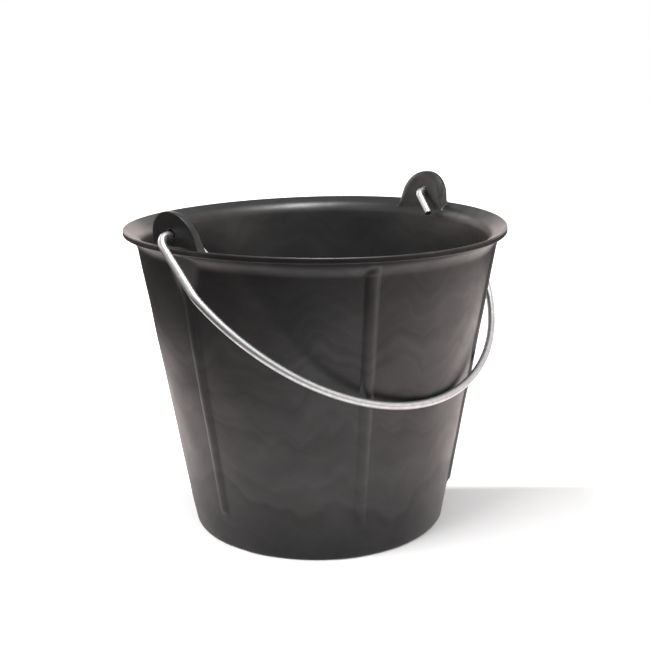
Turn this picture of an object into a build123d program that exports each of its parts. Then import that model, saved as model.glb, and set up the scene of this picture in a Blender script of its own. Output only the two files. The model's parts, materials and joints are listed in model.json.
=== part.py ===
from build123d import *

import os
from math import acos, cos, degrees, floor, hypot, pi, radians, sin, sqrt, tan

os.makedirs("parts", exist_ok=True)

# Lengths are in millimetres and angles in degrees. The floor is at Z = 0, the bucket's axis is Z,
# the two ears lie on X, and the bail hangs down on the -Y side.

# Wall, floor and lip
BASE_RADIUS = 112.0
WALL_LEAN = 9.3
WALL_THICKNESS = 4.6
FLOOR_THICKNESS = 5.0
BASE_ROUND = 3.0
FLOOR_ROUND = 8.0
LIP_HEIGHT = 266.0
LIP_OVERHANG = 9.4
LIP_THICKNESS = 4.6
LIP_RISE = 25.0
FLARE_ROUND_OUTSIDE = 9.0
FLARE_ROUND_INSIDE = 14.0
LIP_ROUND_SHARE = 0.42

# Ears, and the tongue that carries each ear down the wall
EAR_RADIUS = 24.2
EAR_THICKNESS = 5.0
EAR_SETBACK = 1.5
EAR_CENTRE_RISE = 4.5
EAR_SIDE_LEAN = 8.7
EAR_RUN_OUT = 16.0
EAR_EDGE_ROUND = 1.5
HINGE_RISE = 10.5
TONGUE_ROUND = 27.0
TONGUE_DROP = 45.0

# Ribs on the outside of the wall
RIB_ANGLE_FROM_EAR = 58.4
RIB_WIDTH = 13.0
RIB_FOOT_WIDTH = 9.0
RIB_PROUD = 3.0
RIB_FOOT_PROUD = 2.2
RIB_FOOT_HEIGHT = 30.0
RIB_RUN_OUT = 6.0
RIB_TIP_WIDTH = 5.0
RIB_TIP_PROUD = 0.3

# Raised litre scale on the inside of the wall
LITRE = 1.0e6
FIRST_MARK = 2
LONG_MARK_EVERY = 2
LONG_MARK = 34.0
SHORT_MARK = 18.0
MARK_HEIGHT = 1.8
MARK_PROUD = 0.8

# Wire bail
WIRE_DIAMETER = 6.5
HOLE_CLEARANCE = 1.2
LIP_CLEARANCE = 5.7
SIDE_PLAY = 1.5
REST_GAP = 0.5
HOOK_BEND = 11.0
TAIL_BEND = 9.0
TAIL_LENGTH = 26.0
TAIL_LEAN = 15.0
TAIL_CLEARANCE = 2.0
LEG_LENGTH = 57.0
KINK_BEND = 34.0
BAIL_REACH = 198.0
WIRE_END_CHAMFER = 0.6

lean = radians(WALL_LEAN)
rise = radians(LIP_RISE)
wall_across = WALL_THICKNESS / cos(lean)
lip_upright = LIP_THICKNESS / cos(rise)
lip_round = LIP_THICKNESS * LIP_ROUND_SHARE
wire_radius = WIRE_DIAMETER / 2


def wall_outside(z):
    """Radius of the outer face of the wall at height z."""
    return BASE_RADIUS + z * tan(lean)


def wall_inside(z):
    """Radius of the inner face of the wall at height z."""
    return wall_outside(z) - wall_across


def wall_middle(z):
    """Radius halfway through the wall at height z."""
    return wall_outside(z) - wall_across / 2


lip_radius = wall_outside(LIP_HEIGHT) + LIP_OVERHANG


def lip_top(r):
    """Height of the upper face of the lip at radius r."""
    return LIP_HEIGHT - (lip_radius - r) * tan(rise)


def lip_corner(foot_radius, edge_height):
    """Point where the wall line that starts at foot_radius meets the lip line that ends at edge_height."""
    z = (edge_height - (lip_radius - foot_radius) * tan(rise)) / (1 - tan(lean) * tan(rise))
    return (foot_radius + z * tan(lean), z)


# Shell of revolution: floor, wall and flared lip
with BuildPart() as body:
    with BuildSketch(Plane.XZ):
        with BuildLine():
            section = FilletPolyline(
                (0, 0),
                (BASE_RADIUS, 0),
                lip_corner(BASE_RADIUS, LIP_HEIGHT - lip_upright),
                (lip_radius, LIP_HEIGHT - lip_upright),
                (lip_radius, LIP_HEIGHT),
                lip_corner(wall_inside(0), LIP_HEIGHT),
                (wall_inside(FLOOR_THICKNESS), FLOOR_THICKNESS),
                (0, FLOOR_THICKNESS),
                radius=[
                    BASE_ROUND,
                    FLARE_ROUND_OUTSIDE,
                    lip_round,
                    lip_round,
                    FLARE_ROUND_INSIDE,
                    FLOOR_ROUND,
                ],
            )
            Line(section @ 1, section @ 0)
        make_face()
    revolve(axis=Axis.Z)

# One rib on the +X side: round-backed, narrower towards its foot, where it runs out into the wall
rib_top = lip_top(wall_outside(LIP_HEIGHT)) - lip_upright
rib_stations = [
    (RIB_FOOT_HEIGHT, RIB_TIP_WIDTH, RIB_TIP_PROUD),
    (RIB_FOOT_HEIGHT + RIB_RUN_OUT, RIB_FOOT_WIDTH, RIB_FOOT_PROUD),
    (rib_top, RIB_WIDTH, RIB_PROUD),
]
with BuildPart() as rib:
    for z, width, proud in rib_stations:
        across_wall = Plane(
            origin=(wall_outside(z), 0, z), x_dir=(0, -1, 0), z_dir=(sin(lean), 0, cos(lean))
        )
        with BuildSketch(across_wall):
            with BuildLine():
                back = ThreePointArc((-width / 2, 0), (0, proud), (width / 2, 0))
                root = -WALL_THICKNESS / 2
                Polyline(back @ 1, (width / 2, root), (-width / 2, root), back @ 0)
            make_face()
    loft(ruled=True)

# One ear on the +X side: a round-topped plate bent to the circle of the lip, with the hole of the bail. Its
# sides lean outwards to the lip, and its inner face leans inwards until it runs out into the inner wall.
ear_outside = lip_radius - EAR_SETBACK
ear_inside = ear_outside - EAR_THICKNESS
ear_centre = LIP_HEIGHT + EAR_CENTRE_RISE
ear_top = ear_centre + EAR_RADIUS
ear_foot = LIP_HEIGHT - EAR_RUN_OUT
ear_foot_outside = lip_top(ear_outside) - lip_upright / 2
side_lean = radians(EAR_SIDE_LEAN)
crown_half = EAR_RADIUS * cos(side_lean)
crown_end = ear_centre + EAR_RADIUS * sin(side_lean)
foot_half = crown_half + (crown_end - ear_foot) * tan(side_lean)
flare_foot = lip_corner(BASE_RADIUS, LIP_HEIGHT - lip_upright)[1]
hinge_height = LIP_HEIGHT + HINGE_RISE
hole_radius = wire_radius + HOLE_CLEARANCE
with BuildPart() as ear:
    with BuildSketch(Plane.YZ):
        with BuildLine():
            crown = ThreePointArc((crown_half, crown_end), (0, ear_top), (-crown_half, crown_end))
            Polyline(crown @ 1, (-foot_half, ear_foot), (foot_half, ear_foot), crown @ 0)
        make_face()
    extrude(amount=2 * lip_radius)
    with BuildSketch(Plane.XZ):
        with BuildLine():
            Polyline(
                (ear_inside, ear_top),
                (wall_inside(ear_foot) + wall_across / 4, ear_foot),
                (wall_middle(ear_foot), ear_foot),
                (wall_middle(flare_foot), flare_foot),
                (ear_outside, ear_foot_outside),
                (ear_outside, ear_top),
                close=True,
            )
        make_face()
    revolve(axis=Axis.Z, mode=Mode.INTERSECT)
    crown_edges = ear.edges().sort_by(Axis.Z)[-2:]
    fillet(crown_edges, EAR_EDGE_ROUND)
    with Locations(Location((ear_outside, 0, hinge_height), (0, 90, 0))):
        Hole(hole_radius)

# One tongue on the +X side: a round back that leans out from inside the wall to the lip and carries the
# ear's load down to the rib
tongue_head = lip_top(ear_outside) - lip_upright
tongue_foot = tongue_head - TONGUE_DROP
tongue_run = ear_outside - wall_middle(tongue_foot)
axis_back = TONGUE_ROUND * hypot(tongue_run, TONGUE_DROP) / TONGUE_DROP
tongue_axis = Plane(
    origin=(wall_middle(tongue_foot) - axis_back, 0, tongue_foot), z_dir=(tongue_run, 0, TONGUE_DROP)
)
with BuildPart() as tongue:
    with BuildSketch(tongue_axis):
        Circle(TONGUE_ROUND)
    extrude(amount=2 * TONGUE_DROP, both=True)
    with BuildSketch(Plane.XZ):
        with BuildLine():
            Polyline(
                (wall_middle(tongue_foot), tongue_foot),
                (lip_radius, tongue_foot),
                (lip_radius, LIP_HEIGHT - lip_upright / 2),
                (wall_middle(flare_foot), flare_foot),
                close=True,
            )
        make_face()
    revolve(axis=Axis.Z, mode=Mode.INTERSECT)

# Raised marks of the litre scale, on the -Y side of the inner wall
floor_inside = wall_inside(FLOOR_THICKNESS)


def mark_level(litres):
    """Height at which the tapered inside holds that many litres, from the volume of a cone's frustum."""
    slope = tan(lean)
    top_radius = (3 * slope * litres * LITRE / pi + floor_inside**3) ** (1 / 3)
    return FLOOR_THICKNESS + (top_radius - floor_inside) / slope


def litres_below(z):
    """Litres that the inside holds up to height z."""
    cubes = wall_inside(z) ** 3 - floor_inside**3
    return pi * cubes / (3 * tan(lean)) / LITRE


flare_start = lip_corner(wall_inside(0), LIP_HEIGHT)[1] - FLARE_ROUND_INSIDE
last_mark = floor(litres_below(flare_start))
with BuildPart() as scale:
    with BuildSketch(Plane.XZ):
        for litres in range(FIRST_MARK, last_mark + 1):
            with Locations((0, mark_level(litres))):
                Rectangle(LONG_MARK if litres % LONG_MARK_EVERY == 0 else SHORT_MARK, MARK_HEIGHT)
    extrude(amount=lip_radius)
    with BuildSketch(Plane.XZ):
        with BuildLine():
            low = FLOOR_THICKNESS
            Polyline(
                (wall_middle(low), low),
                (wall_middle(LIP_HEIGHT), LIP_HEIGHT),
                (wall_inside(LIP_HEIGHT) - MARK_PROUD, LIP_HEIGHT),
                (wall_inside(low) - MARK_PROUD, low),
                close=True,
            )
        make_face()
    revolve(axis=Axis.Z, mode=Mode.INTERSECT)

# The moulded shell: body, ears, tongues, ribs and scale in one piece
rib_angles = [
    0,
    RIB_ANGLE_FROM_EAR,
    180 - RIB_ANGLE_FROM_EAR,
    180,
    180 + RIB_ANGLE_FROM_EAR,
    360 - RIB_ANGLE_FROM_EAR,
]

with BuildPart() as bucket_shell:
    add(body.part)
    with PolarLocations(0, 2):
        add(ear.part)
        add(tongue.part)
    with Locations(*[Location((0, 0, 0), (0, 0, angle)) for angle in rib_angles]):
        add(rib.part)
    add(scale.part)

bucket_shell.part.label = "bucket_shell"
export_step(bucket_shell.part, "parts/bucket_shell.step")

# The bail lies in a plane through the ear holes. It hangs until the middle of its bow meets the wall,
# and has slid along the holes towards -X by the side play.
half_span = lip_radius + LIP_CLEARANCE + wire_radius + SIDE_PLAY
bow_height = BAIL_REACH - LEG_LENGTH
bow_radius = (half_span**2 + bow_height**2) / (2 * bow_height)
bow_centre = BAIL_REACH - bow_radius
wall_reach = wall_outside(hinge_height) * cos(lean) + wire_radius + REST_GAP
hang = lean + acos(wall_reach / BAIL_REACH)
tail_end_wall = wall_inside(hinge_height - TAIL_LENGTH * sin(hang))
tail_room = sqrt(tail_end_wall**2 - (TAIL_LENGTH * cos(hang)) ** 2)
tail_end = tail_room - TAIL_CLEARANCE - wire_radius - SIDE_PLAY
tail_root = tail_end + TAIL_LENGTH * tan(radians(TAIL_LEAN))
kink_from_axis = half_span - KINK_BEND
kink_along = bow_centre + sqrt((bow_radius - KINK_BEND) ** 2 - kink_from_axis**2)
kink_to_bow = bow_radius / hypot(kink_from_axis, kink_along - bow_centre)
bow_end = (kink_from_axis * kink_to_bow, bow_centre + (kink_along - bow_centre) * kink_to_bow)
bail_plane = Plane(
    origin=(-SIDE_PLAY, 0, hinge_height), x_dir=(1, 0, 0), z_dir=(0, sin(hang), -cos(hang))
)

with BuildPart() as wire_bail:
    with BuildLine(bail_plane):
        left_hook = FilletPolyline(
            (-tail_end, TAIL_LENGTH),
            (-tail_root, 0),
            (-half_span, 0),
            (-half_span, kink_along),
            radius=[TAIL_BEND, HOOK_BEND],
        )
        RadiusArc((-half_span, kink_along), (-bow_end[0], bow_end[1]), KINK_BEND)
        ThreePointArc((-bow_end[0], bow_end[1]), (0, BAIL_REACH), bow_end)
        RadiusArc(bow_end, (half_span, kink_along), KINK_BEND)
        FilletPolyline(
            (half_span, kink_along),
            (half_span, 0),
            (tail_root, 0),
            (tail_end, TAIL_LENGTH),
            radius=[HOOK_BEND, TAIL_BEND],
        )
    with BuildSketch(Plane(origin=left_hook @ 0, z_dir=left_hook % 0)):
        Circle(wire_radius)
    sweep()
    cut_ends = wire_bail.faces().filter_by(GeomType.PLANE).edges()
    chamfer(cut_ends, WIRE_END_CHAMFER)

wire_bail.part.label = "wire_bail"
export_step(wire_bail.part, "parts/wire_bail.step")

swing = 180 + 2 * degrees(hang)
print(f"lip diameter {2 * lip_radius:.1f}, ear top {ear_top:.1f}, hinge height {hinge_height:.1f}")
print(f"bail hangs {degrees(hang):.2f} degrees below level and swings {swing:.2f} degrees")
print(f"shell {bucket_shell.part.volume / LITRE:.3f} l, wire {wire_bail.part.volume / LITRE:.4f} l")
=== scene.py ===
# %% [markdown]
# # A rubber bucket with a wire bail
# The real thing is one moulding of dark recycled rubber and one bent length of galvanised wire. The packed
# model is the frame: it gives the true size, the hinge line and the two bodies. Everything below is worked
# out in millimetres around it and turned into metres at the last moment.

# %% Load the frame
import json
import bmesh
import bpy
import numpy as np
from math import acos, cos, pi, radians, sin, sqrt, tan
from mathutils import Matrix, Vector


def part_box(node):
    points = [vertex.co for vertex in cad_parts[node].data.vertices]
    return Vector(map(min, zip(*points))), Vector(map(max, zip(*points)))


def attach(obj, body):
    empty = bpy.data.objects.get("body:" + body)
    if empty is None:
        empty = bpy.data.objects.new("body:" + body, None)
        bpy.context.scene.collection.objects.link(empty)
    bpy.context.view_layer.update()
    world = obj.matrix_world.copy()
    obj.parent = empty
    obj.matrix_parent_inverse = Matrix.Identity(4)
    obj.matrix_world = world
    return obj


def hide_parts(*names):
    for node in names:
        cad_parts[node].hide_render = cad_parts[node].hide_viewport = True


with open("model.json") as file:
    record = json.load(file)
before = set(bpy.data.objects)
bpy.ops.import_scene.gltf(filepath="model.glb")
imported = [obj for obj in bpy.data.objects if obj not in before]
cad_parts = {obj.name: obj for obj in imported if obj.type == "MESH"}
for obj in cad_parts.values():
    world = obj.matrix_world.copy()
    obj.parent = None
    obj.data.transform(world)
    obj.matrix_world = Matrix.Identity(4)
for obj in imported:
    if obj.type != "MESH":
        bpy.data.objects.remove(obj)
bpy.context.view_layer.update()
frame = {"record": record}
MM = 0.001
_, shell_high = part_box("bucket_shell")
_, LIP_RADIUS, EAR_TOP = np.array(shell_high) / MM
bail_joint = frame["record"]["behaviour"]["joints"][0]
HINGE_HEIGHT = bail_joint["pos_m"][2] / MM
print(f"lip radius {LIP_RADIUS:.2f}, ear top {EAR_TOP:.2f}, hinge height {HINGE_HEIGHT:.2f} mm")

# %% [markdown]
# ## Small helpers
# Every piece here is a grid of points: rows along one parameter, columns along the other. One helper joins
# the grid into quads and welds points that fall together, such as the poles of a turned shape. Another
# eases a value from 0 to 1, which is how moulded shapes blend into each other, and a third shades a piece
# smoothly up to its sharp edges.

# %% Grid and blend helpers
WELD_DISTANCE = 0.0001


def eased(x):
    """The smooth step: 0 below 0, 1 above 1, and 3x2 - 2x3 between."""
    x = np.clip(x, 0.0, 1.0)
    return x * x * (3.0 - 2.0 * x)


def grid_quads(rows, columns, close_rows, close_columns):
    """Corner numbers of the quads of a grid, and each corner's place in the grid as (column, row)."""
    i = np.arange(rows if close_rows else rows - 1)
    j = np.arange(columns if close_columns else columns - 1)
    i, j = np.meshgrid(i, j, indexing="ij")
    across = np.stack([j, j + 1, j + 1, j], -1)
    along = np.stack([i, i, i + 1, i + 1], -1)
    corners = (along % rows) * columns + across % columns
    places = np.stack([across / columns, along / rows], -1)
    return corners.reshape(-1, 4), places.reshape(-1, 2)


def grid_piece(name, points, close_rows=False, close_columns=False):
    """A mesh object from an array of points, rows by columns by 3, in millimetres, with a UV map of
    (column, row), doubles welded and its faces turned outwards."""
    rows, columns = points.shape[:2]
    corners, places = grid_quads(rows, columns, close_rows, close_columns)
    mesh = bpy.data.meshes.new(name)
    mesh.from_pydata((points.reshape(-1, 3) * MM).tolist(), [], corners.tolist())
    mesh.uv_layers.new(name="grid").data.foreach_set("uv", places.ravel())
    work = bmesh.new()
    work.from_mesh(mesh)
    bmesh.ops.remove_doubles(work, verts=work.verts, dist=WELD_DISTANCE * MM)
    if work.calc_volume(signed=True) < 0:
        bmesh.ops.reverse_faces(work, faces=work.faces)
    work.to_mesh(mesh)
    work.free()
    piece = bpy.data.objects.new(name, mesh)
    bpy.context.scene.collection.objects.link(piece)
    return piece


def smooth(piece, sharp_from):
    """Shades the piece smoothly, apart from edges that turn by more than sharp_from degrees."""
    mesh = piece.data
    mesh.polygons.foreach_set("use_smooth", np.ones(len(mesh.polygons), dtype=bool))
    mesh.set_sharp_from_angle(angle=radians(sharp_from))


# %% [markdown]
# ## The camera
# The picture was taken from a little above the lip, with one ear near the left edge. The camera's
# distance, height and tilt come from matching the lip ellipse, the base and the ears, so it is set first
# and left. The bucket's X axis runs through its ears, so the camera's own axes are turned to suit it.

# %% Camera
PICTURE_WIDTH = 650
SENSOR_WIDTH = 36.0
FOCAL_PIXELS = 1110.15
CAMERA_DISTANCE = 955.28
CAMERA_HEIGHT = 418.55
CAMERA_TILT = radians(14.406)
CAMERA_PAN = radians(0.441)
CAMERA_ROLL = radians(-0.691)
CAMERA_SIGHT = 50000.0
EAR_TURN = radians(47.75)

panned = np.array([sin(CAMERA_PAN), cos(CAMERA_PAN), 0.0])
forward = panned * cos(CAMERA_TILT) - [0, 0, sin(CAMERA_TILT)]
level = np.array([cos(CAMERA_PAN), -sin(CAMERA_PAN), 0.0])
upright = np.cross(level, forward)
right = cos(CAMERA_ROLL) * level + sin(CAMERA_ROLL) * upright
up = cos(CAMERA_ROLL) * upright - sin(CAMERA_ROLL) * level
to_ears = np.array([
    [cos(EAR_TURN), sin(EAR_TURN), 0],
    [-sin(EAR_TURN), cos(EAR_TURN), 0],
    [0, 0, 1],
])
stand = np.eye(4)
stand[:3, :3] = to_ears @ np.stack([right, up, -forward], 1)
stand[:3, 3] = to_ears @ np.array([0, -CAMERA_DISTANCE, CAMERA_HEIGHT]) * MM

camera = bpy.data.objects.new("camera", bpy.data.cameras.new("camera"))
bpy.context.scene.collection.objects.link(camera)
camera.matrix_world = Matrix(stand.tolist())
camera.data.sensor_width = SENSOR_WIDTH
camera.data.lens = FOCAL_PIXELS / PICTURE_WIDTH * SENSOR_WIDTH
camera.data.clip_end = CAMERA_SIGHT * MM
bpy.context.scene.camera = camera
print(f"lens {camera.data.lens:.2f} mm, camera at {[round(v, 3) for v in camera.location]}")

# %% [markdown]
# ## The section of the bucket
# Cut through its axis, the bucket is a thin wall that leans out, turns over into a flared lip and comes
# back down inside to the floor. A lathe outline of corners with rounded turns says all of it, so a few
# corners and radii are kept and the rounded points are worked out from them.

# %% Lines of the section
BASE_RADIUS = 112.0
WALL_LEAN = radians(9.3)
WALL_THICKNESS = 4.6
FLOOR_THICKNESS = 5.0
LIP_HEIGHT = 266.0
LIP_THICKNESS = 4.6
LIP_RISE = radians(25.0)
lip_upright = LIP_THICKNESS / cos(LIP_RISE)
wall_across = WALL_THICKNESS / cos(WALL_LEAN)


def wall_outside(z):
    """Radius of the outer wall at height z: the base radius plus height times the tangent of the lean."""
    return BASE_RADIUS + z * tan(WALL_LEAN)


def wall_inside(z):
    """Radius of the inner wall at height z: the outer radius less the wall measured across."""
    return wall_outside(z) - wall_across


def lip_corner(foot_radius, edge_height):
    """Where the leaning wall line from foot_radius meets the rising lip line that ends at edge_height."""
    lip_at_foot = edge_height - (LIP_RADIUS - foot_radius) * tan(LIP_RISE)
    z = lip_at_foot / (1 - tan(WALL_LEAN) * tan(LIP_RISE))
    return (foot_radius + z * tan(WALL_LEAN), z)


print(f"the wall is {wall_across:.2f} mm across, the lip {lip_upright:.2f} mm upright")

# %% Rounded section
BASE_ROUND, FLARE_OUTSIDE, LIP_ROUND, FLARE_INSIDE, FLOOR_ROUND = 3.0, 16.0, 1.0, 14.0, 8.0


def rounded_path(corners, rounds, spacing, turn_steps):
    """A polyline whose inner corners are replaced by arcs: each straight run is divided by its spacing,
    and each arc is the circle of that radius touching both runs."""
    corners = [np.array(c, dtype=float) for c in corners]
    pieces, start = [], corners[0]
    for k, radius in enumerate(rounds, start=1):
        back = corners[k - 1] - corners[k]
        ahead = corners[k + 1] - corners[k]
        back, ahead = back / np.linalg.norm(back), ahead / np.linalg.norm(ahead)
        half = acos(np.clip(back @ ahead, -1, 1)) / 2
        middle = (back + ahead) / np.linalg.norm(back + ahead)
        centre = corners[k] + middle * radius / sin(half)
        entry = corners[k] + back * radius / tan(half)
        count = max(2, round(np.linalg.norm(entry - start) / spacing[k - 1]) + 1)
        pieces.append(start + (entry - start) * np.linspace(0, 1, count)[:-1, None])
        side = entry - centre
        swing = np.linspace(0, pi - 2 * half, turn_steps[k - 1] + 1)[:, None]
        arc = centre + side * np.cos(swing) - back * radius * np.sin(swing)
        pieces.append(arc[:-1])
        start = arc[-1]
    count = max(2, round(np.linalg.norm(corners[-1] - start) / spacing[-1]) + 1)
    pieces.append(start + (corners[-1] - start) * np.linspace(0, 1, count)[:, None])
    return np.concatenate(pieces)


section = rounded_path(
    [
        (0, 0),
        (BASE_RADIUS, 0),
        lip_corner(BASE_RADIUS, LIP_HEIGHT - lip_upright),
        (LIP_RADIUS, LIP_HEIGHT - lip_upright),
        (LIP_RADIUS, LIP_HEIGHT),
        lip_corner(wall_inside(0), LIP_HEIGHT),
        (wall_inside(FLOOR_THICKNESS), FLOOR_THICKNESS),
        (0, FLOOR_THICKNESS),
    ],
    rounds=[BASE_ROUND, FLARE_OUTSIDE, LIP_ROUND, LIP_ROUND, FLARE_INSIDE, FLOOR_ROUND],
    spacing=[26.0, 3.4, 1.4, 1.0, 1.6, 6.0, 26.0],
    turn_steps=[5, 14, 4, 4, 10, 6],
)
outermost = int(section[:, 0].argmax())
print(f"section of {len(section)} points, the lip edge is point {outermost}")

# %% [markdown]
# ## Ribs, tongues and the give of the rubber
# Six round-backed ribs stiffen the wall, and a tongue under each ear carries the load of the bail down
# from the lip. They are low, smooth swellings of the same wall, so each is a height added to the turned
# surface rather than a separate solid. Rubber also leaves the mould a little out of true: the lip is drawn
# up at the ears, the wall bellies out and its skin is faintly uneven, which breaks up the reflections.

# %% Ribs
RIB_ANGLES = np.radians([0.0, 58.4, 121.6, 180.0, 238.4, 301.6])
RIB_WIDTH, RIB_FOOT_WIDTH = 12.0, 10.0
RIB_PROUD, RIB_FOOT_PROUD = 3.0, 2.2
RIB_FOOT, RIB_RUN_OUT, RIB_TOP = 30.0, 6.0, 257.0
# The least share of its height that a rib is worked out with, so that its arc has a radius below the foot.
RIB_LEAST = 0.02
RIB_BLEND, RIB_HEAD_BLEND = 0.6, 2.4
RIB_HEAD, RIB_HEAD_RUN = 240.0, 14.0
WALL_BELLY = 0.4


def turn_between(angle, centres):
    """Signed angle from each of the centres, between minus and plus half a turn."""
    return (angle[..., None] - centres + pi) % (2 * pi) - pi


def blended(gap, blend):
    """The larger of the gap and nothing, rounded off: within blend either side of 0 the corner is replaced
    by the parabola that touches both branches."""
    share = np.clip(0.5 + 0.5 * gap / blend, 0, 1)
    return gap * share + blend * share * (1 - share)


def rib_height(angle, r, z):
    """Ribs: the arc of a circle over the rib's width, whose height grows from the foot to the lip and runs
    out over the last few millimetres. Under the lip, where the surface already stands out from the wall,
    only what the rib has beyond it is left, with a wider blend."""
    share = eased((z - RIB_FOOT) / RIB_RUN_OUT)
    upward = np.clip((z - RIB_FOOT) / (RIB_TOP - RIB_FOOT), 0, 1)
    proud = (RIB_FOOT_PROUD + (RIB_PROUD - RIB_FOOT_PROUD) * upward) * np.maximum(share, RIB_LEAST)
    half = (RIB_FOOT_WIDTH + (RIB_WIDTH - RIB_FOOT_WIDTH) * upward) / 2
    arc = (half**2 + proud**2) / (2 * proud)
    off = np.abs(turn_between(angle, RIB_ANGLES)).min(-1) * wall_outside(z)
    back = np.sqrt(np.clip(arc**2 - off**2, 0, None)) - (arc - proud)
    blend = RIB_BLEND + (RIB_HEAD_BLEND - RIB_BLEND) * eased((z - RIB_HEAD) / RIB_HEAD_RUN)
    return blended(back - np.clip(r - wall_outside(z) - WALL_BELLY, 0, None), blend) * share


print(f"{len(RIB_ANGLES)} ribs from {RIB_FOOT:.0f} to {RIB_TOP:.0f} mm, up to {RIB_PROUD:.1f} mm proud")

# %% Tongues
EAR_ANGLES = np.array([0.0, pi])
EAR_SET_BACK = 1.5
EAR_OUTSIDE = LIP_RADIUS - EAR_SET_BACK
TONGUE_ROUND, TONGUE_DROP, TONGUE_BLEND = 27.0, 45.0, 1.2
# Angles either side of an ear, in radians: as far as a tongue can reach, and as far as its bar is solved.
TONGUE_SPAN, TONGUE_SOLVED = 0.2, 0.3
SOLVE_ROUNDS = 3

tongue_head = LIP_HEIGHT - (LIP_RADIUS - EAR_OUTSIDE) * tan(LIP_RISE) - lip_upright
tongue_foot = tongue_head - TONGUE_DROP
tongue_start = wall_outside(tongue_foot) - wall_across / 2
tongue_run = EAR_OUTSIDE - tongue_start
tongue_half_depth = TONGUE_ROUND * np.hypot(tongue_run, TONGUE_DROP) / TONGUE_DROP


def tongue_height(angle, r, z):
    """Tongues: the gap between the wall and a round bar that leans from inside the wall out to the lip.
    Cut level, the bar is an ellipse: its front less its half depth times one minus the root of one minus
    the square of the share of its half width. A few rounds of solving put each point on its own ray."""
    off = turn_between(angle, EAR_ANGLES)
    off = np.take_along_axis(off, np.abs(off).argmin(-1)[..., None], -1)[..., 0]
    near = np.clip(off, -TONGUE_SOLVED, TONGUE_SOLVED)
    front = tongue_start + tongue_run * (z - tongue_foot) / TONGUE_DROP
    bar = front
    for _ in range(SOLVE_ROUNDS):
        across = np.clip(bar * np.sin(near) / TONGUE_ROUND, -1, 1)
        bar = (front - tongue_half_depth * (1 - np.sqrt(1 - across**2))) / np.cos(near)
    return np.where(np.abs(off) < TONGUE_SPAN, blended(bar - r, TONGUE_BLEND), 0)


print(f"tongues from {tongue_foot:.1f} up to {tongue_head:.1f} mm")

# %% Uneven skin and drawn-up lip
SKIN_RELIEF, SKIN_FADE = 0.16, 20.0
SKIN_WAVES = [(1.0, 5, 31.0, 0.0), (0.8, 11, -19.0, 1.3), (0.6, 17, 11.0, 0.4), (0.5, 3, -8.5, 2.1)]
LIP_WARP, WARP_FROM = 1.4, 150.0


def skin_relief(angle, z):
    """Uneven skin of the moulding: a sum of long waves, none in step. Each is its share of the relief times
    the sine of so many turns of the angle, plus the height over its run, plus its start."""
    return SKIN_RELIEF * sum(
        share * np.sin(turns * angle + z / run + start) for share, turns, run, start in SKIN_WAVES
    )


def lip_warp(angle, z):
    """Lift of the lip: highest over the ears and lowest between them, fading down the wall."""
    return LIP_WARP * np.cos(2 * angle) * eased((z - WARP_FROM) / (LIP_HEIGHT - WARP_FROM))


print(f"{len(SKIN_WAVES)} waves of {SKIN_RELIEF} mm in the skin, the lip drawn up by {LIP_WARP} mm")

# %% [markdown]
# ## The turned shell
# The section is turned about the axis on a grid. Its columns crowd together at the ribs and tongues, where
# the surface bends most, so that smooth stretches don't waste points.

# %% Shell grid
COLUMNS = 520
RIB_CROWDING = 3.2
RIB_CROWD_WIDTH = radians(5.5)
CROWD_SAMPLES = 7201
WALL_FROM, WALL_FADE = 100.0, 6.0

fine = np.linspace(0, 2 * pi, CROWD_SAMPLES)
crowd = 1 + RIB_CROWDING * np.exp(-((turn_between(fine, RIB_ANGLES) / RIB_CROWD_WIDTH) ** 2)).sum(-1)
filled = np.concatenate([[0], np.cumsum((crowd[1:] + crowd[:-1]) / 2)])
columns = np.interp(np.arange(COLUMNS) / COLUMNS * filled[-1], filled, fine)

angle, radius = np.meshgrid(columns, section[:, 0])
height = np.broadcast_to(section[:, 1:], angle.shape)
on_outside = (np.arange(len(section)) < outermost)[:, None]
on_wall = eased((radius - WALL_FROM) / WALL_FADE)
radius = radius + on_wall * WALL_BELLY * np.sin(pi * height / LIP_HEIGHT)
swelling = np.maximum(rib_height(angle, radius, height), tongue_height(angle, radius, height))
radius = radius + on_outside * on_wall * swelling
radius = radius + on_wall * skin_relief(angle, height) * eased((LIP_HEIGHT - height) / SKIN_FADE)
height = height + lip_warp(angle, height)
shell = grid_piece(
    "rubber_shell",
    np.stack([radius * np.cos(angle), radius * np.sin(angle), height], -1),
    close_columns=True,
)
print(f"shell grid of {len(section)} rows and {COLUMNS} columns")

# %% [markdown]
# ## The ears
# Each ear is an upright D of rubber on the lip, bent to the lip's circle, with a hole for the hook of the
# bail and a small fillet at its root. Its outer face is flat and leans out, and its inner face is domed.
# A plate with a hole has the topology of a ring, so it is a grid closed both ways: one parameter runs
# round the outline, the other runs out across one face, over the rounded edge, back across the other face
# and through the hole.

# %% Where the ear meets the lip
EAR_CROWN_THICKNESS = 5.0
EAR_RUN_OUT = 16.0
ROOT_SINK = 0.4
run_out_level = LIP_HEIGHT - EAR_RUN_OUT
run_out_radius = wall_inside(run_out_level) + wall_across / 4
crown_radius = EAR_OUTSIDE - EAR_CROWN_THICKNESS
lip_face = section[outermost:][::-1]
lip_face = lip_face[lip_face[:, 1] > run_out_level]


def lip_surface(r):
    """Height of the lip's upper face at radius r, read along the section and lifted by the ear's warp."""
    return np.interp(r, lip_face[:, 0], lip_face[:, 1]) + LIP_WARP


def ear_inside(z):
    """Radius of the ear's inner face: a straight line from the crown down and inwards into the wall."""
    share = (z - run_out_level) / (EAR_TOP - run_out_level)
    return run_out_radius + (crown_radius - run_out_radius) * share


root_level = lip_surface((EAR_OUTSIDE + ear_inside(LIP_HEIGHT)) / 2)
toe = root_level - ROOT_SINK


def root_flare(z, round_radius):
    """How far a root fillet stands out at height z: a quarter circle that touches the lip and the ear."""
    up_from_root = np.clip(z - toe, 0, round_radius)
    return round_radius - np.sqrt(round_radius**2 - (round_radius - up_from_root) ** 2)


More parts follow.
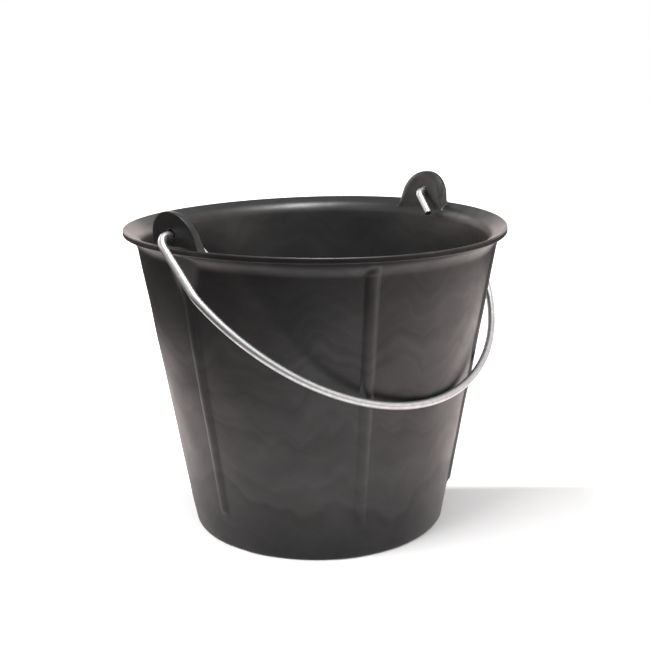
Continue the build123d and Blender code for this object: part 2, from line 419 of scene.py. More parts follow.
print(f"root of the ear at {root_level:.2f} mm")

# %% Outline of the ear
EAR_RADIUS, EAR_SIDE_LEAN, EAR_SIDE_ROUND = 24.2, radians(8.7), 3.0
EAR_SINK = 2.4
CROWN_STEPS, SIDE_STEPS, SILL_STEPS = 24, 12, 10
ear_centre = EAR_TOP - EAR_RADIUS

around = np.linspace(EAR_SIDE_LEAN, pi / 2, CROWN_STEPS)
crown = np.stack([EAR_RADIUS * np.cos(around), ear_centre + EAR_RADIUS * np.sin(around)], -1)
rise = toe + (crown[0, 1] - toe) * np.linspace(0, 1, SIDE_STEPS + 1)[:-1] ** 2
side = np.stack([crown[0, 0] + (crown[0, 1] - rise) * tan(EAR_SIDE_LEAN), rise], -1)
side[:, 0] += root_flare(rise, EAR_SIDE_ROUND)
foot = np.stack([np.full(2, side[0, 0]), toe - EAR_SINK + np.array([0, 0.5]) * EAR_SINK], -1)
sill_y = np.linspace(0, foot[0, 0], SILL_STEPS + 1)[:-1]
sill = np.stack([sill_y, np.full(SILL_STEPS, foot[0, 1])], -1)
half_outline = np.concatenate([sill, foot, side, crown])
other_half = half_outline[1:-1][::-1] * [-1, 1]
ear_outline = np.concatenate([half_outline, other_half])
print(f"ear outline of {len(ear_outline)} points")

# %% Ear surface
EAR_EDGE, DOME_WIDTH, DOME_DROP = 0.45, 5.0, 2.2
EAR_ROOT_ROUND, ROOT_FADE = 0.8, 9.0
EAR_FACE_LEAN = radians(7.0)
HOLE_RADIUS, HOLE_EASE = 4.45, 0.5
FLAT_RINGS, DOME_RINGS, EDGE_RINGS = 8, 6, 5


def face_rings(outline, dome_drop):
    """Rings of one face from the hole out: shares of the way to the dome, the dome as a parabola that
    falls by dome_drop, then round the edge on a quarter circle. Gives each ring, and how far below the
    face it lies."""
    along = np.roll(outline, -1, 0) - np.roll(outline, 1, 0)
    outward = np.stack([along[:, 1], -along[:, 0]], -1) / np.linalg.norm(along, axis=1)[:, None]
    grown = eased((outline[:, 1] - toe) / ROOT_FADE)
    width = EAR_EDGE + (DOME_WIDTH - EAR_EDGE) * grown
    drop = dome_drop * grown
    brink = outline - outward * EAR_EDGE
    inset = brink - outward * width[:, None]
    hole = np.array([0.0, HINGE_HEIGHT])
    ray = inset - hole
    ray = ray / np.linalg.norm(ray, axis=1)[:, None]
    rings, depths = [hole + ray * HOLE_RADIUS], [np.full(len(width), HOLE_EASE)]
    for share in np.linspace(0, 1, FLAT_RINGS):
        rings.append((1 - share) * (hole + ray * (HOLE_RADIUS + HOLE_EASE)) + share * inset)
        depths.append(np.zeros(len(width)))
    for share in np.linspace(0, 1, DOME_RINGS + 1)[1:]:
        rings.append(inset + outward * (width * share)[:, None])
        depths.append(drop * share**2)
    for turn in np.linspace(0, pi / 2, EDGE_RINGS + 1)[1:]:
        rings.append(brink + outward * EAR_EDGE * sin(turn))
        depths.append(drop + EAR_EDGE * (1 - cos(turn)))
    return np.stack(rings), np.stack(depths)


def ear_surface(outline):
    """Ear as two faces of rings, joined at the outline and through the hole. The outer face is flat and
    leans out about the hinge line, and the inner one is domed. Low down, the rings follow the lip."""
    outer_rings, outer_depth = face_rings(outline, 0.0)
    inner_rings, inner_depth = face_rings(outline, DOME_DROP)
    faces = np.repeat([1, 0], len(outer_rings))[:, None]
    plate = np.concatenate([outer_rings, inner_rings[::-1]])
    depth = np.concatenate([outer_depth, inner_depth[::-1]])
    y, level_z = plate[..., 0], plate[..., 1]
    follow = 1 - eased((level_z - root_level) / ROOT_FADE)
    outer = EAR_OUTSIDE - depth + root_flare(level_z, EAR_ROOT_ROUND) * (depth < EAR_EDGE)
    outer = outer + (level_z - HINGE_HEIGHT) * tan(EAR_FACE_LEAN)
    z = level_z
    for _ in range(SOLVE_ROUNDS):
        r = np.where(faces, outer, ear_inside(z) + depth)
        z = level_z + (lip_surface(r) - root_level) * follow
    return np.stack([np.sqrt(r**2 - y**2), y, z], -1)


ear_points = ear_surface(ear_outline)
ears = [
    grid_piece("ear_right", ear_points, close_rows=True, close_columns=True),
    grid_piece("ear_left", ear_points * [-1, -1, 1], close_rows=True, close_columns=True),
]
print(f"ears of {ear_points.shape[0]} rings")

# %% Join the ears to the shell


def unite(piece, others):
    """One closed skin round the piece and the others: a boolean union worked out once, with the others
    removed afterwards."""
    for other in others:
        union = piece.modifiers.new(other.name, "BOOLEAN")
        union.operation, union.solver, union.object = "UNION", "MANIFOLD", other
    worked_out = piece.evaluated_get(bpy.context.evaluated_depsgraph_get())
    joined = bpy.data.meshes.new_from_object(worked_out)
    piece.modifiers.clear()
    piece.data = joined
    for other in others:
        bpy.data.objects.remove(other)


unite(shell, ears)
smooth(shell, sharp_from=42)
print(f"shell with ears: {len(shell.data.polygons)} faces")

# %% [markdown]
# ## The wire bail
# The bail is drawn wire bent cold: a hook through each ear with its tail turned down, a straight leg, a
# kink, and one long bow. The path lies in a plane that hangs from the hinge line until the bow meets the
# wall, so it is laid out flat from lines and arcs and then tilted. A circle carried along it is the wire.

# %% Lengths of the wire
WIRE_RADIUS = 3.25
SIDE_PLAY = 1.5
LIP_CLEARANCE = 5.7
REST_GAP = 0.5
HOOK_BEND, TAIL_BEND, KINK_BEND = 11.0, 9.0, 34.0
TAIL_LENGTH, TAIL_LEAN, TAIL_CLEARANCE = 26.0, radians(15.0), 2.0
LEG_LENGTH, BAIL_REACH = 57.0, 198.0

half_span = LIP_RADIUS + LIP_CLEARANCE + WIRE_RADIUS + SIDE_PLAY
bow_height = BAIL_REACH - LEG_LENGTH
bow_radius = (half_span**2 + bow_height**2) / (2 * bow_height)
bow_centre = BAIL_REACH - bow_radius
wall_reach = wall_outside(HINGE_HEIGHT) * cos(WALL_LEAN) + WIRE_RADIUS + REST_GAP
hang = WALL_LEAN + acos(wall_reach / BAIL_REACH)
tail_level = HINGE_HEIGHT - TAIL_LENGTH * sin(hang)
tail_room = sqrt(wall_inside(tail_level) ** 2 - (TAIL_LENGTH * cos(hang)) ** 2)
tail_end = tail_room - TAIL_CLEARANCE - WIRE_RADIUS - SIDE_PLAY
tail_root = tail_end + TAIL_LENGTH * tan(TAIL_LEAN)
kink_from_axis = half_span - KINK_BEND
kink_along = bow_centre + sqrt((bow_radius - KINK_BEND) ** 2 - kink_from_axis**2)
bow_turn = np.arctan2(kink_from_axis, kink_along - bow_centre)
print(f"the bail hangs {np.degrees(hang):.1f} degrees below level, bow radius {bow_radius:.1f} mm")

# %% Path of the wire
KINK_STEPS, BOW_STEPS = 11, 59

hook = rounded_path(
    [(tail_end, TAIL_LENGTH), (tail_root, 0), (half_span, 0), (half_span, kink_along)],
    rounds=[TAIL_BEND, HOOK_BEND],
    spacing=[2.5, 2.5, 4.0],
    turn_steps=[10, 10],
)
kink_turn = np.linspace(0, pi / 2 - bow_turn, KINK_STEPS + 1)[1:, None]
kink_ray = np.concatenate([np.cos(kink_turn), np.sin(kink_turn)], 1)
kink = [kink_from_axis, kink_along] + KINK_BEND * kink_ray
bow_angle = np.linspace(bow_turn, 0, BOW_STEPS + 1)[1:, None]
bow_ray = np.concatenate([np.sin(bow_angle), np.cos(bow_angle)], 1)
bow = [0, bow_centre] + bow_radius * bow_ray
half_wire = np.concatenate([hook, kink, bow])
wire_path = np.concatenate([half_wire, half_wire[-2::-1] * [-1, 1]])
wire_length = np.linalg.norm(np.diff(wire_path, axis=0), axis=1).sum()
print(f"wire {wire_length:.0f} mm long")

# %% Wire grid
WIRE_SIDES = 28
WIRE_END_CHAMFER = 0.6


def wire_surface(path):
    """A circle carried along a flat path: each ring is the centre plus the radius times cosine along the
    path's normal and sine along the plane's; the end rings close in over a small chamfer."""
    tangent = np.gradient(path, axis=0)
    tangent = tangent / np.linalg.norm(tangent, axis=1)[:, None]
    stations = np.concatenate([[0, 0, 0], np.arange(1, len(path) - 1), [-1, -1, -1]])
    path, tangent = path[stations], tangent[stations]
    radii = np.full(len(stations), WIRE_RADIUS)
    radii[[0, -1]] = 0
    radii[[1, -2]] = WIRE_RADIUS - WIRE_END_CHAMFER
    path[2] += tangent[2] * WIRE_END_CHAMFER
    path[-3] -= tangent[-3] * WIRE_END_CHAMFER
    normal = np.stack([-tangent[:, 1], tangent[:, 0]], -1)
    turn = np.linspace(0, 2 * pi, WIRE_SIDES, endpoint=False)
    flat = path[:, None] + normal[:, None] * (radii[:, None] * np.cos(turn))[..., None]
    off_plane = radii[:, None] * np.sin(turn)
    u, v = flat[..., 0], flat[..., 1]
    return np.stack([
        u - SIDE_PLAY,
        -v * cos(hang) + off_plane * sin(hang),
        HINGE_HEIGHT - v * sin(hang) - off_plane * cos(hang),
    ], -1)


wire = grid_piece("wire_bail_skin", wire_surface(wire_path), close_columns=True)
smooth(wire, sharp_from=40)
print(f"wire of {len(wire.data.polygons)} faces")

# %% [markdown]
# ## The litre scale
# The scale stands up from the inside of the wall, below the hanging bail, where water shows its level. A
# mark is a closed bar with a squarish section, and its back half is sunk in the wall. The numbers are
# plain figures, made as text first and then wrapped onto the wall, point by point.

# %% Litre marks
LITRE = 1.0e6
FIRST_MARK, LAST_MARK, LONG_MARK_EVERY = 2, 12, 2
LONG_MARK, SHORT_MARK, MARK_HEIGHT, MARK_PROUD = 34.0, 18.0, 1.8, 0.8
MARK_SINK, MARK_SQUARENESS = 0.6, 24
MARK_STATIONS, MARK_SIDES = 25, 24
SCALE_ANGLE = -pi / 2


def mark_level(litres):
    """Height at which the tapered inside holds that many litres, from the volume of a cone's frustum."""
    floor_radius = wall_inside(FLOOR_THICKNESS)
    cube = 3 * tan(WALL_LEAN) * litres * LITRE / pi + floor_radius**3
    return FLOOR_THICKNESS + (np.cbrt(cube) - floor_radius) / tan(WALL_LEAN)


def on_inner_wall(along, z, proud):
    """A point on the inner wall: along is measured round the wall from the scale's middle, z is its height
    and proud is how far it stands inwards from the skin."""
    z = np.asarray(z, dtype=float)
    r = wall_inside(z) + WALL_BELLY * np.sin(pi * z / LIP_HEIGHT) - proud
    turn = SCALE_ANGLE - along / wall_inside(z)
    r = r + skin_relief(turn % (2 * pi), z)
    return np.stack([r * np.cos(turn), r * np.sin(turn), z], -1)


def bar_grid(litres):
    """A mark: a bar whose section is a squarish oval, the root of the cosine up the wall by the root of the
    sine out of it, closing over both ends. Its back half is sunk in the wall."""
    stations = np.linspace(-1, 1, MARK_STATIONS)
    turns = np.linspace(0, 2 * pi, MARK_SIDES, endpoint=False)
    across, turn = np.meshgrid(stations, turns, indexing="ij")
    across = np.sin(across * pi / 2)
    size = np.cbrt(1 - np.abs(across) ** MARK_SQUARENESS)
    upward = np.sign(np.cos(turn)) * np.sqrt(np.abs(np.cos(turn))) * size
    outward = np.sign(np.sin(turn)) * np.sqrt(np.abs(np.sin(turn))) * size
    proud = np.where(outward > 0, MARK_PROUD, MARK_SINK) * outward
    width = LONG_MARK if litres % LONG_MARK_EVERY == 0 else SHORT_MARK
    return on_inner_wall(across * width / 2, mark_level(litres) + upward * MARK_HEIGHT / 2, proud)


mark_litres = range(FIRST_MARK, LAST_MARK + 1)
marks = [grid_piece(f"litre_mark_{n}", bar_grid(n), close_columns=True) for n in mark_litres]
for mark in marks:
    smooth(mark, sharp_from=60)
print(f"{len(marks)} litre marks, the last at {mark_level(LAST_MARK):.1f} mm")

# %% Litre numbers
FIGURE_HEIGHT, FIGURE_SHARE = 13.0, 0.7
FIGURE_GAP = 5.0
FIGURE_SINK = 0.4
FIGURE_CURVE_STEPS = 6


def wall_figure(litres):
    """A plain number beside a long mark: text made a mesh, then each point's x runs round the wall, its y
    up the wall and its z out of it. A figure's height is a share of the text's size."""
    text = bpy.data.curves.new(f"litre_figure_{litres}", "FONT")
    text.body = str(litres)
    text.size = FIGURE_HEIGHT / FIGURE_SHARE
    text.align_x = "RIGHT"
    text.extrude = (MARK_PROUD + FIGURE_SINK) / 2
    text.resolution_u = FIGURE_CURVE_STEPS
    flat = bpy.data.objects.new(text.name, text)
    bpy.context.scene.collection.objects.link(flat)
    worked_out = flat.evaluated_get(bpy.context.evaluated_depsgraph_get())
    mesh = bpy.data.meshes.new_from_object(worked_out)
    bpy.data.objects.remove(flat)
    points = np.empty(len(mesh.vertices) * 3)
    mesh.vertices.foreach_get("co", points)
    x, y, z = points.reshape(-1, 3).T
    along = -LONG_MARK / 2 - FIGURE_GAP + x
    level_z = mark_level(litres) + y - FIGURE_HEIGHT / 2
    placed = on_inner_wall(along, level_z, z + (MARK_PROUD - FIGURE_SINK) / 2)
    mesh.vertices.foreach_set("co", (placed * MM).ravel())
    mesh.update()
    figure = bpy.data.objects.new(text.name, mesh)
    bpy.context.scene.collection.objects.link(figure)
    return figure


figures = [wall_figure(n) for n in range(FIRST_MARK, LAST_MARK + 1, LONG_MARK_EVERY)]
rubber_pieces = [shell, *marks, *figures]
print(f"{len(figures)} numbers")

# %% [markdown]
# ## Finishes
# Colours are written as the hex values that a colour picker shows and turned to linear light in one place.
# One small function adds a node with its settings and links.

# %% Colour and node helpers


def linear(hex_colour):
    """sRGB hex to linear RGBA: each channel c becomes ((c + 0.055) / 1.055) to the 2.4, or c / 12.92."""
    c = np.array([int(hex_colour[k : k + 2], 16) for k in (1, 3, 5)]) / 255
    return (*np.where(c <= 0.04045, c / 12.92, ((c + 0.055) / 1.055) ** 2.4), 1.0)


def add_node(tree, kind, settings=None, **inputs):
    """Adds a node, sets its properties and inputs, and links an input where its value is a socket."""
    node = tree.nodes.new(kind)
    for key, value in (settings or {}).items():
        setattr(node, key, value)
    for key, value in inputs.items():
        by_place = key.startswith("in") and key[2:].isdigit()
        socket = node.inputs[int(key[2:])] if by_place else node.inputs[key.replace("_", " ")]
        if isinstance(value, bpy.types.NodeSocket):
            tree.links.new(value, socket)
        else:
            socket.default_value = value
    return node


def new_material(name):
    """An empty node material and its output."""
    material = bpy.data.materials.new(name)
    material.use_nodes = True
    material.node_tree.nodes.clear()
    return material, material.node_tree, material.node_tree.nodes.new("ShaderNodeOutputMaterial")


# %% [markdown]
# ### Moulded recycled rubber
# The shell is ground tyre rubber pressed hot in a mould. It is nearly black, with a satin skin off the
# mould and faint wavy bands where the compound flowed and cooled. The bands lie level and sway up and down
# round the bucket, so they are a noise read up the wall, moved up and down by a wider one. With soft
# clouds between them, they change the shine more than the colour.

# %% Rubber material
BAND_HEIGHT = 17.0
SWAY_WIDTH, SWAY_HEIGHT, SWAY_BANDS = 48.0, 110.0, 6.0
CLOUD_SIZE, CLOUD_SHARE = 45.0, 0.5
FLOW_LOW, FLOW_HIGH = 0.3, 0.7
RUBBER_TONES = [(0.35, "#0e0e0e"), (0.68, "#181818")]
DULL_RUBBER, GLOSSY_RUBBER = 0.42, 0.34
LOW_SHINE, HIGH_SHINE = 0.41, 0.59
# The grain of a moulded skin is finer than this, and is drawn coarse enough to show in the picture.
SKIN_GRAIN, GRAIN_DEPTH = 1.6, 0.4


def rubber_material():
    """Satin black rubber. The compound lies in level bands that sway up and down round the bucket. The
    bands and soft clouds change how much the skin shines, and a fine grain is in its bump."""
    material, tree, out = new_material("moulded_recycled_rubber")
    place = add_node(tree, "ShaderNodeTexCoord").outputs["Object"]
    stretch = (1 / (SWAY_WIDTH * MM), 1 / (SWAY_WIDTH * MM), 1 / (SWAY_HEIGHT * MM))
    wide = add_node(tree, "ShaderNodeMapping", Vector=place, Scale=stretch)
    sway = add_node(
        tree, "ShaderNodeTexNoise", Vector=wide.outputs[0], Scale=1.0, Detail=2.0, Roughness=0.45,
    )
    height = add_node(tree, "ShaderNodeSeparateXYZ", in0=place)
    level = add_node(
        tree, "ShaderNodeMath", {"operation": "MULTIPLY"},
        in0=height.outputs[2], in1=1 / (BAND_HEIGHT * MM),
    )
    swayed = add_node(
        tree, "ShaderNodeMath", {"operation": "MULTIPLY_ADD"},
        in0=sway.outputs[0], in1=-SWAY_BANDS, in2=level.outputs[0],
    )
    bands = add_node(
        tree, "ShaderNodeTexNoise", {"noise_dimensions": "1D"},
        W=swayed.outputs[0], Scale=1.0, Detail=2.0, Roughness=0.5,
    )
    clouds = add_node(
        tree, "ShaderNodeTexNoise",
        Vector=place, Scale=1 / (CLOUD_SIZE * MM), Detail=4.0, Distortion=0.8,
    )
    flow = add_node(
        tree, "ShaderNodeMix", {"data_type": "FLOAT"},
        Factor=CLOUD_SHARE, A=bands.outputs[0], B=clouds.outputs[0],
    )
    tone = add_node(tree, "ShaderNodeValToRGB", in0=flow.outputs[0])
    for end, (at, hex_colour) in zip(tone.color_ramp.elements, RUBBER_TONES):
        end.position, end.color = at, linear(hex_colour)
    gloss = add_node(
        tree, "ShaderNodeMapRange", Value=flow.outputs[0],
        From_Min=FLOW_LOW, From_Max=FLOW_HIGH, To_Min=DULL_RUBBER, To_Max=GLOSSY_RUBBER,
    )
    shine = add_node(
        tree, "ShaderNodeMapRange", Value=flow.outputs[0],
        From_Min=FLOW_LOW, From_Max=FLOW_HIGH, To_Min=LOW_SHINE, To_Max=HIGH_SHINE,
    )
    grain = add_node(tree, "ShaderNodeTexNoise", Vector=place, Scale=1 / (SKIN_GRAIN * MM), Detail=3.0)
    bump = add_node(
        tree, "ShaderNodeBump", Strength=0.12, Distance=GRAIN_DEPTH * MM, Height=grain.outputs[0],
    )
    skin = add_node(
        tree, "ShaderNodeBsdfPrincipled", IOR=1.5, Specular_IOR_Level=shine.outputs[0],
        Base_Color=tone.outputs[0], Roughness=gloss.outputs[0], Normal=bump.outputs[0],
    )
    tree.links.new(skin.outputs[0], out.inputs[0])
    return material


rubber = rubber_material()
for piece in rubber_pieces:
    piece.data.materials.clear()
    piece.data.materials.append(rubber)
print("rubber on", len(rubber_pieces), "pieces")

# %% [markdown]
# ### Galvanised drawn wire
# Zinc on drawn steel: a mid-grey metal, dulled a little, with fine lines along the draw and a soft mottle
# where the zinc froze. The lines follow the wire, so they read its own grid of length and turn.

# %% Wire material
ZINC_MOTTLE = 4.0
MOTTLE_LOW, MOTTLE_HIGH = 0.3, 0.7
ZINC_TONES = [(MOTTLE_LOW, "#b4b6b7"), (MOTTLE_HIGH, "#c8c9ca")]
DULL_ZINC, BRIGHT_ZINC = 0.44, 0.36
# Sixty draw lines round the wire lie 0.34 mm apart, and fourteen breaks along it make each 50 mm long.
DRAW_LINES, LINE_BREAKS, LINE_DEPTH = 60.0, 14.0, 0.3


def wire_material():
    """Dull zinc metal: mottled colour, roughness that varies with it, and draw lines in the bump."""
    material, tree, out = new_material("galvanised_drawn_wire")
    coords = add_node(tree, "ShaderNodeTexCoord")
    mottle = add_node(
        tree, "ShaderNodeTexNoise",
        Vector=coords.outputs["Object"], Scale=1 / (ZINC_MOTTLE * MM), Detail=3.0,
    )
    tone = add_node(tree, "ShaderNodeValToRGB", in0=mottle.outputs[0])
    for end, (at, hex_colour) in zip(tone.color_ramp.elements, ZINC_TONES):
        end.position, end.color = at, linear(hex_colour)
    dull = add_node(
        tree, "ShaderNodeMapRange", Value=mottle.outputs[0],
        From_Min=MOTTLE_LOW, From_Max=MOTTLE_HIGH, To_Min=DULL_ZINC, To_Max=BRIGHT_ZINC,
    )
    along = add_node(
        tree, "ShaderNodeMapping", Vector=coords.outputs["UV"], Scale=(DRAW_LINES, LINE_BREAKS, 1.0),
    )
    lines = add_node(tree, "ShaderNodeTexNoise", Vector=along.outputs[0], Scale=1.0, Detail=2.0)
    bump = add_node(
        tree, "ShaderNodeBump", Strength=0.15, Distance=LINE_DEPTH * MM, Height=lines.outputs[0],
    )
    metal = add_node(
        tree, "ShaderNodeBsdfPrincipled", Metallic=1.0,
        Base_Color=tone.outputs[0], Roughness=dull.outputs[0], Normal=bump.outputs[0],
    )
    tree.links.new(metal.outputs[0], out.inputs[0])
    return material


wire.data.materials.append(wire_material())
print("zinc on the wire")

# %% [markdown]
# ## Every piece on its body
# The shell, its marks and its numbers stay with the moulding, and the wire swings with the bail.

# %% Ride and replace
for piece in rubber_pieces:
    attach(piece, "shell")
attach(wire, "bail")
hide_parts("bucket_shell")
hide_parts("wire_bail")

# %% [markdown]
# ## The paper
# The picture is a white studio. The bucket stands on white paper. For every ray but the camera's, a pool of
# light is painted on the paper, past which it falls into the dark, and shade is painted round the foot of
# the bucket. The wall of the bucket mirrors that: its foot sees the lit paper, and the part under the lip
# sees the dark. So in a mirror the paper shines by itself where the pool is, a little warmer to either
# side. The camera sees plain paper with the shadow on it. The picture was painted white behind a straight
# line level with the middle of the bucket, and far from it, so for the camera it glows there.

# %% Paper material
# A painted pool of light and painted shade by the foot of the bucket, for rays other than the camera's.
POOL_CENTRE = (185.0, 125.0)
POOL_FULL, POOL_END = 425.0, 775.0
FOOT_SHADE, FOOT_SHADE_END = 0.4, 250.0
PAPER_GLOW, MIRROR_GLOW, MIRROR_TONE = 0.06, 1.55, 0.25
WHITE_FROM, WHITE_TO = 30.0, 58.0
FAR_FROM, FAR_TO = 240.0, 390.0
WARM_FROM, WARM_TO = 50.0, 260.0
PAPER_ROUGHNESS = 0.9


def white_paper():
    """White paper. For rays other than the camera's, a round pool of light and shade by the foot of the
    bucket are painted into its colour, and in mirrors into its glow too. The camera sees it white
    everywhere, and behind a line and far from the axis it glows."""
    material, tree, out = new_material("white_paper")
    rays = add_node(tree, "ShaderNodeLightPath")
    seen, mirrored = rays.outputs["Is Camera Ray"], rays.outputs["Is Glossy Ray"]
    place = add_node(tree, "ShaderNodeTexCoord").outputs["Object"]
    rightward, backward = tuple(to_ears @ [1, 0, 0]), tuple(to_ears @ [0, 1, 0])
    centre = tuple(to_ears @ [*POOL_CENTRE, 0] * MM)

    # How far the paper is lit, by distance from the middle of the pool and from the foot: painted light and
    # shade, which the camera doesn't see.
    from_centre = add_node(tree, "ShaderNodeVectorMath", {"operation": "DISTANCE"}, in0=place, in1=centre)
    pool = add_node(
        tree, "ShaderNodeMapRange", {"interpolation_type": "SMOOTHSTEP"},
        Value=from_centre.outputs["Value"],
        From_Min=POOL_FULL * MM, From_Max=POOL_END * MM, To_Min=1.0, To_Max=seen,
    )
    from_axis = add_node(tree, "ShaderNodeVectorMath", {"operation": "LENGTH"}, in0=place)
    foot_shade = add_node(tree, "ShaderNodeMath", {"operation": "MAXIMUM"}, in0=seen, in1=FOOT_SHADE)
    lit = add_node(
        tree, "ShaderNodeMapRange", {"interpolation_type": "SMOOTHSTEP"},
        Value=from_axis.outputs["Value"],
        From_Min=BASE_RADIUS * MM, From_Max=FOOT_SHADE_END * MM,
        To_Min=foot_shade.outputs[0], To_Max=pool.outputs[0],
    )

    # Its colour, which the lamps light. For rays other than the camera's it is dimmed and carries the
    # painted pool of light and the painted shade by the foot.
    dimmed = add_node(tree, "ShaderNodeMath", {"operation": "MAXIMUM"}, in0=seen, in1=MIRROR_TONE)
    white = add_node(
        tree, "ShaderNodeMath", {"operation": "MULTIPLY"}, in0=lit.outputs[0], in1=dimmed.outputs[0],
    )
    tone = add_node(
        tree, "ShaderNodeMix", {"data_type": "RGBA"},
        Factor=white.outputs[0], A=linear("#000000"), B=linear("#dddddd"),
    )

    # Its glow: white for the camera behind the line and far out, and the pool's shine in mirrors.
    depth = add_node(tree, "ShaderNodeVectorMath", {"operation": "DOT_PRODUCT"}, in0=place, in1=backward)
    glow = add_node(
        tree, "ShaderNodeMapRange", {"interpolation_type": "SMOOTHSTEP"}, Value=depth.outputs["Value"],
        From_Min=WHITE_FROM * MM, From_Max=WHITE_TO * MM, To_Min=PAPER_GLOW, To_Max=1.0,
    )
    far_glow = add_node(
        tree, "ShaderNodeMapRange", {"interpolation_type": "SMOOTHSTEP"},
        Value=from_axis.outputs["Value"],
        From_Min=FAR_FROM * MM, From_Max=FAR_TO * MM, To_Min=glow.outputs[0], To_Max=1.0,
    )
    to_camera = add_node(
        tree, "ShaderNodeMath", {"operation": "MULTIPLY"}, in0=seen, in1=far_glow.outputs[0],
    )
    in_mirror = add_node(
        tree, "ShaderNodeMath", {"operation": "MULTIPLY"}, in0=mirrored, in1=lit.outputs[0],
    )
    shine = add_node(
        tree, "ShaderNodeMath", {"operation": "MULTIPLY_ADD"},
        in0=in_mirror.outputs[0], in1=MIRROR_GLOW, in2=to_camera.outputs[0],
    )

    # The tint of the shine, warmer to either side.
    aside = add_node(tree, "ShaderNodeVectorMath", {"operation": "DOT_PRODUCT"}, in0=place, in1=rightward)
    off_centre = add_node(tree, "ShaderNodeMath", {"operation": "ABSOLUTE"}, in0=aside.outputs["Value"])
    warmth = add_node(
        tree, "ShaderNodeMapRange", {"interpolation_type": "SMOOTHSTEP"}, Value=off_centre.outputs[0],
        From_Min=WARM_FROM * MM, From_Max=WARM_TO * MM, To_Min=0.0, To_Max=1.0,
    )
    warm = add_node(
        tree, "ShaderNodeMix", {"data_type": "RGBA"},
        Factor=warmth.outputs[0], A=linear("#fffaf9"), B=linear("#fff1ef"),
    )
    glow_tint = add_node(
        tree, "ShaderNodeMix", {"data_type": "RGBA"},
        Factor=seen, A=warm.outputs["Result"], B=linear("#ffffff"),
    )
    paper = add_node(
        tree, "ShaderNodeBsdfPrincipled", Base_Color=tone.outputs["Result"], Roughness=PAPER_ROUGHNESS,
        Emission_Color=glow_tint.outputs["Result"], Emission_Strength=shine.outputs[0],
    )
    tree.links.new(paper.outputs[0], out.inputs[0])
    return material


print(f"a pool of light {2 * POOL_FULL:.0f} mm wide")

# %% Lay the paper
PAPER_REACH = 6000.0

paper_x, paper_y = np.meshgrid([-PAPER_REACH, PAPER_REACH], [-PAPER_REACH, PAPER_REACH])
floor = grid_piece("floor", np.stack([paper_x, paper_y, np.zeros((2, 2))], -1) @ to_ears.T)
floor.data.materials.append(white_paper())
print("paper laid")

# %% [markdown]
# ## Lamps and surroundings
# One soft lamp high at the near left gives the even light and throws the shadow to the right. It stays
# out of the reflections. Two more lamps, overhead and at the back left, give only glare on the skin of the
# rubber and on the wire. White screens stand round the bucket, apart from the dark side where the camera
# is, and the edges of the wall mirror them.

# %% Lamps
LAMP_DISTANCE = 1500.0
LAMP_AIM = np.array([0, 0, 130.0])


def soft_lamp(name, azimuth, elevation, size, power):
    """An area lamp that faces the bucket: its place is the aim plus the distance along a direction, whose
    azimuth is measured in degrees from the camera's right towards its back."""
    light = bpy.data.lights.new(name, "AREA")
    light.shape, light.size, light.size_y = "RECTANGLE", size[0] * MM, size[1] * MM
    light.energy = power
    lamp = bpy.data.objects.new(name, light)
    bpy.context.scene.collection.objects.link(lamp)
    a, e = radians(azimuth), radians(elevation)
    away = to_ears @ np.array([cos(e) * cos(a), cos(e) * sin(a), sin(e)])
    side = np.cross([0, 0, 1], away)
    side = side / np.linalg.norm(side)
    pose = np.eye(4)
    pose[:3, :3] = np.stack([side, np.cross(away, side), away], 1)
    pose[:3, 3] = (LAMP_AIM + away * LAMP_DISTANCE) * MM
    lamp.matrix_world = Matrix(pose.tolist())
    return lamp


left_softbox = soft_lamp("left_softbox", 228.0, 52.0, (750.0, 750.0), 24.0)
left_softbox.visible_glossy = False
overhead_softbox = soft_lamp("overhead_softbox", 300.0, 79.0, (350.0, 800.0), 24.0)
overhead_softbox.visible_diffuse = False
back_softbox = soft_lamp("back_softbox", 138.0, 34.0, (700.0, 350.0), 2.6)
back_softbox.visible_diffuse = False
print("one lamp for light and shadow, two for glare")

# %% Surroundings
BACKDROP, SCREENS, DARK_SIDE = 2.9, 1.9, 0.02
DARK_TOWARDS = radians(256.0)
MIDDLE, MIDDLE_GAP, GAP_TOWARDS = 1.1, 0.4, radians(65.0)
UPPER_NEAR, UPPER_FAR, UPPER_TOWARDS = 1.8, 0.3, radians(315.0)
# Each pair is the cosine of the angle from its direction where a part begins and where it is full.
BACKDROP_EDGE, DARK_EDGE, GAP_EDGE, UPPER_EDGE = (0.4, 0.95), (0.3, 0.86), (0.3, 0.85), (-0.5, 0.5)
# Sines of the elevation where the screens end, the middle band is full, and the room above it is full.
SCREENS_END, MIDDLE_FULL, UPPER_FULL = 0.09, 0.5, 0.82
TINT_FULL, TINT_END = 0.1, 0.4


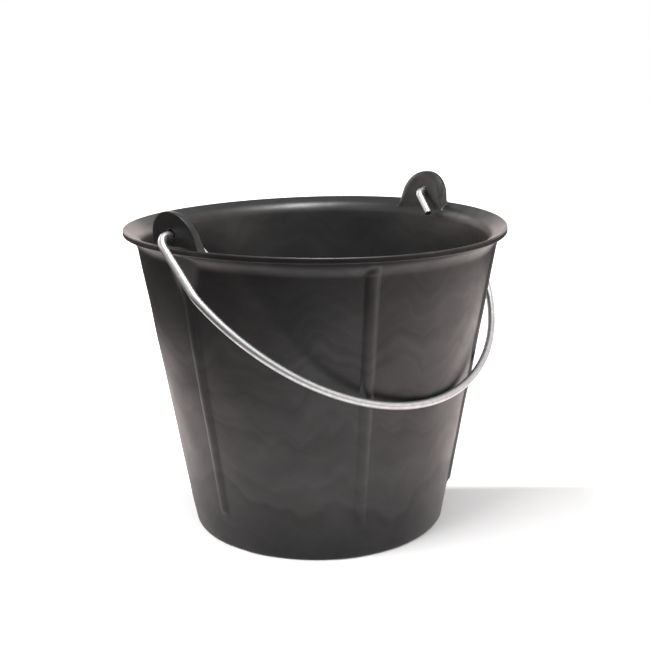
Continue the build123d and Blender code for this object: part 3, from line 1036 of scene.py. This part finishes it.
def surroundings(world):
    """Light by direction: white screens round the horizon, brightest at the back and dark where the camera
    is; over them a middle band with a gap at the back right; and higher up a room that is pale on the near
    right and dark on the far left. Low light is faintly warm. The camera sees plain white."""
    tree = world.node_tree
    tree.nodes.clear()
    seen = add_node(tree, "ShaderNodeLightPath").outputs["Is Camera Ray"]
    way = add_node(tree, "ShaderNodeTexCoord").outputs["Generated"]
    upward = add_node(tree, "ShaderNodeSeparateXYZ", in0=way).outputs[2]

    def facing(turn, edge, from_value, to_value):
        """From one value to another as the direction comes round to the turn."""
        target = tuple(to_ears @ [cos(turn), sin(turn), 0])
        along = add_node(tree, "ShaderNodeVectorMath", {"operation": "DOT_PRODUCT"}, in0=way, in1=target)
        return add_node(
            tree, "ShaderNodeMapRange", {"interpolation_type": "SMOOTHSTEP"},
            Value=along.outputs["Value"],
            From_Min=edge[0], From_Max=edge[1], To_Min=from_value, To_Max=to_value,
        ).outputs[0]

    backdrop = facing(pi / 2, BACKDROP_EDGE, SCREENS, BACKDROP)
    screens = facing(DARK_TOWARDS, DARK_EDGE, backdrop, DARK_SIDE)
    between = facing(GAP_TOWARDS, GAP_EDGE, MIDDLE, MIDDLE_GAP)
    room = facing(UPPER_TOWARDS, UPPER_EDGE, UPPER_FAR, UPPER_NEAR)
    middle = add_node(
        tree, "ShaderNodeMapRange", {"interpolation_type": "SMOOTHSTEP"}, Value=upward,
        From_Min=SCREENS_END, From_Max=MIDDLE_FULL, To_Min=screens, To_Max=between,
    )
    light = add_node(
        tree, "ShaderNodeMapRange", {"interpolation_type": "SMOOTHSTEP"}, Value=upward,
        From_Min=MIDDLE_FULL, From_Max=UPPER_FULL, To_Min=middle.outputs[0], To_Max=room,
    )
    strength = add_node(
        tree, "ShaderNodeMix", {"data_type": "FLOAT"}, Factor=seen, A=light.outputs[0], B=1.0,
    )
    above = add_node(tree, "ShaderNodeMapRange", Value=upward, From_Min=TINT_FULL, From_Max=TINT_END)
    plain = add_node(tree, "ShaderNodeMath", {"operation": "MAXIMUM"}, in0=above.outputs[0], in1=seen)
    tint = add_node(
        tree, "ShaderNodeMix", {"data_type": "RGBA"},
        Factor=plain.outputs[0], A=linear("#ffece6"), B=linear("#ffffff"),
    )
    sky = add_node(
        tree, "ShaderNodeBackground", Color=tint.outputs["Result"], Strength=strength.outputs[0],
    )
    tree.links.new(sky.outputs[0], add_node(tree, "ShaderNodeOutputWorld").inputs[0])


world = bpy.data.worlds.new("white_studio")
bpy.context.scene.world = world
world.use_nodes = True
surroundings(world)
bpy.context.scene.view_settings.view_transform = "Standard"
print("surroundings set")
